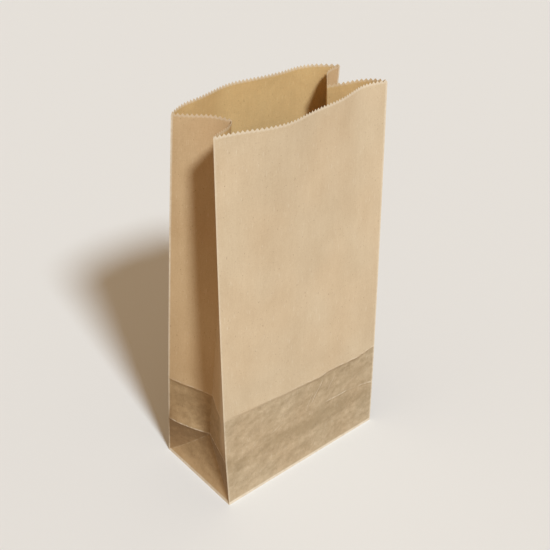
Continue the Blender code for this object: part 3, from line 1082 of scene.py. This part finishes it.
    def wear_and_highlights(self, wrinkles):
        """The pale places: raised worn fibres on folds and cut edges, partly wear and partly
        painted highlight along the foot, painted highlights on the press mark, crease and
        wrinkles, and painted light on the strip beside a gusset's front corner.
        """
        places = {
            "mark": (self.line(self.mark - PALE_ABOVE_MARK, CREASE_LINE)
                     * self.partly(self.crisp, SOFT_LINES)),
            "strip": self.strip,
            "crease": self.line(self.crease - PALE_ABOVE_CREASE, CREASE_LINE) * self.crease_light_and_shade,
            "fold": self.line(self.named("fold"), CREASE_LINE),
            "wrinkles": wrinkles,
            "edge": (self.ease(self.named("edge"), *EDGE_WEAR, 1.0, 0.0)
                     * self.ease(self.girth, *SHIELDED)),
            "foot": self.ease(self.up, *FOOT_WEAR_AND_HIGHLIGHT, 1.0, 0.0),
        }
        rim = self.ease(self.up, *(self.mouth - depth for depth in RIM_WEAR))
        wear_and_highlights = rim * (RIM_ON_PANEL - self.gusset * (RIM_ON_PANEL - RIM_ON_GUSSET))
        for name, (unbroken, strength) in WORN_AND_HIGHLIT.items():
            wear_and_highlights = wear_and_highlights.at_least(places[name] * self.partly(self.breaks, unbroken) * strength)
        return wear_and_highlights.at_most(1.0)

    def relief(self, face):
        """How the fibres and the finest crinkle stand up. The inner face is rougher."""
        height = 0.0
        for name, rise in (INNER_RELIEF if face == "inner" else OUTER_RELIEF).items():
            height = self.swing(name) * rise + height
        return self.node("ShaderNodeBump", None,
                         {"Height": height, "Strength": BUMP, "Distance": 1.0}, "Normal")


def kraft_paper(look, size, face):
    """Unbleached kraft: long fibres, bark specks, soft clouds, pale wear along the folds, and
    painted highlights, light and shade on the marks, creases and gussets.
    """
    name = "kraft_paper_" + face
    material = bpy.data.materials.get(name)
    if material:
        return material
    material = bpy.data.materials.new(name)
    material.use_nodes = True
    tree = material.node_tree
    shader = tree.nodes["Principled BSDF"]
    paper = PaperMaker(tree, look, size)
    # Painted highlight lines and painted shade lines of the sharp wrinkles
    wrinkle_highlights, wrinkle_shade = paper.wrinkles()
    wear_and_highlights = paper.wear_and_highlights(wrinkle_highlights)
    colour = paper.soiled_and_shaded(paper.tinted_and_shaded(paper.fibre_colour(), face))
    # Painted shade lines, then the pale worn fibres, painted highlights and painted light
    colour = paper.mix(wear_and_highlights, paper.painted_hollow_shade(colour, wrinkle_shade), (*look.worn, 1))
    roughness = ROUGHNESS + paper.swing("grain") * GRAIN_ROUGHNESS + wear_and_highlights * WORN_ROUGHNESS
    tree.links.new(colour.end, shader.inputs["Base Color"])
    tree.links.new(roughness.end, shader.inputs["Roughness"])
    tree.links.new(paper.relief(face).end, shader.inputs["Normal"])
    return material


class BAG_OT_fold_sheet(bpy.types.Operator):
    """Folds the sheet into the opened bag"""
    bl_idname = "bag.fold_sheet"
    bl_label = "Fold Sheet"

    def execute(self, context):
        size = context.scene.bag_sizes
        walls = bag_walls(size)
        stretches = [(wall, 0.0, wall.length) for wall in walls]
        sheet = sheet_mesh("folded_sheet", size, stretches, sheet_rows(size), closed=True)
        finish_sheet(sheet, size, paper_tree(), context.scene.kraft_look)
        belongs(sheet)
        return {"FINISHED"}


class BAG_OT_glue_lap(bpy.types.Operator):
    """Lays the glued lap on the back panel"""
    bl_idname = "bag.glue_lap"
    bl_label = "Glue Lap"

    def execute(self, context):
        size = context.scene.bag_sizes
        back = bag_walls(size)[2]
        low = size.lap_from_corner
        stretch = (back, low, low + size.lap_width)
        lap = sheet_mesh("glued_lap", size, [stretch], sheet_rows(size), closed=False)
        tree = bpy.data.node_groups["teeth_and_crinkle"]
        finish_sheet(lap, size, tree, context.scene.kraft_look, lift=size.paper)
        belongs(lap)
        return {"FINISHED"}


class BAG_OT_glue_base(bpy.types.Operator):
    """Lays the folded layers of the base: two flaps beneath, and two end folds inside"""
    bl_idname = "bag.glue_base"
    bl_label = "Glue Base"

    def execute(self, context):
        size = context.scene.bag_sizes
        material = kraft_paper(context.scene.kraft_look, size, "outer")
        for name, outline, height, thickness in base_layers(size):
            plate = plate_mesh(name, outline, height)
            plate.data.materials.append(material)
            wall = plate.modifiers.new("thickness", "SOLIDIFY")
            wall.thickness = thickness
            wall.offset = 1
            make_plain(plate)
            belongs(plate)
        return {"FINISHED"}


class BAG_OT_build_stage(bpy.types.Operator):
    """Makes the floor, the light and the camera"""
    bl_idname = "bag.build_stage"
    bl_label = "Build Stage"

    def execute(self, context):
        scene, look = context.scene, context.scene.studio_look
        scene.view_settings.view_transform = "Standard"
        make_floor(look)
        scene.world = make_world(look)
        scene.collection.objects.link(make_key(look))
        scene.camera = photo_camera()
        scene.collection.objects.link(scene.camera)
        return {"FINISHED"}


def make_floor(look):
    """A wide plain floor, which throws less light back than it shows to the camera."""
    mesh = bmesh.new()
    bmesh.ops.create_grid(mesh, x_segments=1, y_segments=1, size=FLOOR_REACH)
    floor = new_object("floor", mesh)
    paint = bpy.data.materials.new("floor_paint")
    paint.use_nodes = True
    shader = paint.node_tree.nodes["Principled BSDF"]
    maker = NodeMaker(paint.node_tree)
    shown = maker.mix(maker.seen_plainly(), (*look.bounce, 1), (*look.floor, 1))
    paint.node_tree.links.new(shown.end, shader.inputs["Base Color"])
    shader.inputs["Roughness"].default_value = 0.9
    floor.data.materials.append(paint)
    return floor


def make_world(look):
    """Even warm light from all round, behind a pale backdrop."""
    world = bpy.data.worlds.new("studio")
    world.use_nodes = True
    tree = world.node_tree
    maker = NodeMaker(tree)
    seen = maker.seen_plainly()
    shown = maker.mix(seen, (*look.fill_colour, 1), BACKDROP)
    strength = look.fill + seen * (BACKDROP_STRENGTH - look.fill)
    background = tree.nodes["Background"]
    tree.links.new(shown.end, background.inputs["Color"])
    tree.links.new(strength.end, background.inputs["Strength"])
    return world


def make_key(look):
    """The soft main lamp."""
    key = bpy.data.lights.new("key", "SUN")
    key.energy, key.angle, key.color = look.key, look.key_softness, look.key_colour
    lamp = bpy.data.objects.new("key", key)
    azimuth, height = look.key_azimuth, look.key_elevation
    towards = Vector((-math.sin(azimuth) * math.cos(height),
                      -math.cos(azimuth) * math.cos(height), math.sin(height)))
    lamp.rotation_mode = "QUATERNION"
    lamp.rotation_quaternion = towards.to_track_quat("Z", "Y")
    return lamp


def photo_camera():
    """A camera where the photographer's was."""
    ahead = Vector((math.sin(CAMERA_YAW) * math.cos(CAMERA_PITCH),
                    math.cos(CAMERA_YAW) * math.cos(CAMERA_PITCH), -math.sin(CAMERA_PITCH)))
    right = Vector((math.cos(CAMERA_YAW), -math.sin(CAMERA_YAW), 0))
    above = right.cross(ahead)
    turned = right * math.cos(CAMERA_ROLL) + above * math.sin(CAMERA_ROLL)
    lens = bpy.data.cameras.new("photo_camera")
    lens.sensor_width = CAMERA_SENSOR
    lens.lens = CAMERA_LENS
    lens.clip_start, lens.clip_end = 0.01, 50
    made = bpy.data.objects.new("photo_camera", lens)
    axes = Matrix((turned, turned.cross(ahead), -ahead)).transposed()
    made.matrix_world = Matrix.Translation(CAMERA_PLACE) @ axes.to_4x4()
    return made


class BAG_PT_sidebar(bpy.types.Panel):
    """The bag's tools in the 3D view's sidebar"""
    bl_idname = "BAG_PT_sidebar"
    bl_label = "Paper Bag"
    bl_space_type = "VIEW_3D"
    bl_region_type = "UI"
    bl_category = "Paper Bag"

    def draw(self, context):
        for group in (context.scene.bag_sizes, context.scene.kraft_look,
                      context.scene.studio_look):
            box = self.layout.box()
            for name in group.bl_rna.properties.keys():
                if name not in ("name", "rna_type"):
                    box.prop(group, name)
        for operator in OPERATORS:
            self.layout.operator(operator.bl_idname)


GROUPS = {"bag_sizes": BagSizes, "kraft_look": KraftLook, "studio_look": StudioLook}
OPERATORS = (BAG_OT_build_stage, BAG_OT_fold_sheet, BAG_OT_glue_lap, BAG_OT_glue_base)


def register():
    for name, group in GROUPS.items():
        bpy.utils.register_class(group)
        setattr(bpy.types.Scene, name, bpy.props.PointerProperty(type=group))
    for operator in OPERATORS:
        bpy.utils.register_class(operator)
    bpy.utils.register_class(BAG_PT_sidebar)


def unregister():
    bpy.utils.unregister_class(BAG_PT_sidebar)
    for operator in reversed(OPERATORS):
        bpy.utils.unregister_class(operator)
    for name, group in GROUPS.items():
        delattr(bpy.types.Scene, name)
        bpy.utils.unregister_class(group)


def main():
    register()
    bpy.ops.bag.build_stage()
    bpy.ops.bag.fold_sheet()
    bpy.ops.bag.glue_lap()
    bpy.ops.bag.glue_base()


if __name__ == "__main__":
    main()
